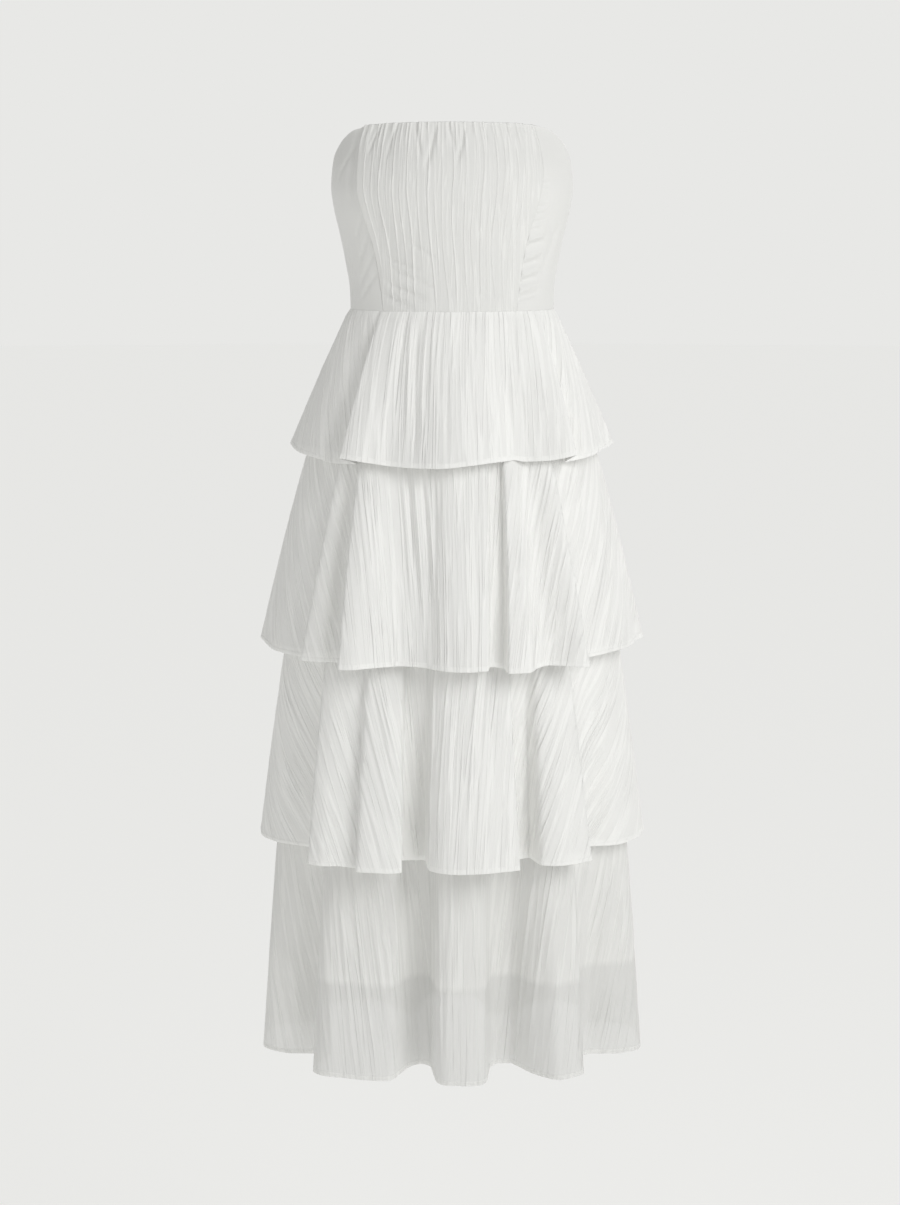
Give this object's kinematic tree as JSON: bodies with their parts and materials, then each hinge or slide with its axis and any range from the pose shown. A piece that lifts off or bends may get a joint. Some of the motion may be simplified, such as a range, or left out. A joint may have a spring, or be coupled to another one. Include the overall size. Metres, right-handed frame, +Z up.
{
  "type": "maxi dress",
  "caption": "Strapless maxi dress with a fitted seamed bodice, flounced tiers of white crinkle cloth, a shorter lining and a concealed back zip, open and hollow as worn.",
  "frame": {"origin": "middle of the bust line, where the wearer's body holds the bodice up", "axes": "+Z up along the body, the front faces -Y, +X to the wearer's left"},
  "size_m": [0.49, 0.4008, 1.1696],
  "materials": {
    "crinkle_cloth": "soft white crinkle-pleated cotton gauze, matt and slightly sheer",
    "plain_cloth": "smooth plain-woven white cotton, matt with a faint sheen",
    "lining_cloth": "fine smooth white lining, faint sheen",
    "zip": "white enamelled slider and pull on white nylon tape"
  },
  "bodies": {
    "root": {"bodice_centre_front": "crinkle_cloth", "bodice_side_front_right": "plain_cloth", "bodice_side_front_left": "plain_cloth", "bodice_back_left": "plain_cloth", "bodice_back_right": "plain_cloth", "tier_1_front": "crinkle_cloth", "tier_1_back_left": "crinkle_cloth", "tier_1_back_right": "crinkle_cloth", "tier_2_front": "crinkle_cloth", "tier_2_back": "crinkle_cloth", "tier_3_front": "crinkle_cloth", "tier_3_back": "crinkle_cloth", "tier_4_front": "crinkle_cloth", "tier_4_back": "crinkle_cloth", "lining_front": "lining_cloth", "lining_back_left": "lining_cloth", "lining_back_right": "lining_cloth", "zip_tape": "zip", "zip_slider": "zip"},
    "pull": {"zip_pull": "zip"}
  },
  "joints": [
    {"name": "zip_pull_swing", "type": "hinge", "parent": "root", "child": "pull", "pos_m": [0, 0.10235, 0.01875], "axis": [1, 0, 0], "range_deg": [0, 150]}
  ]
}
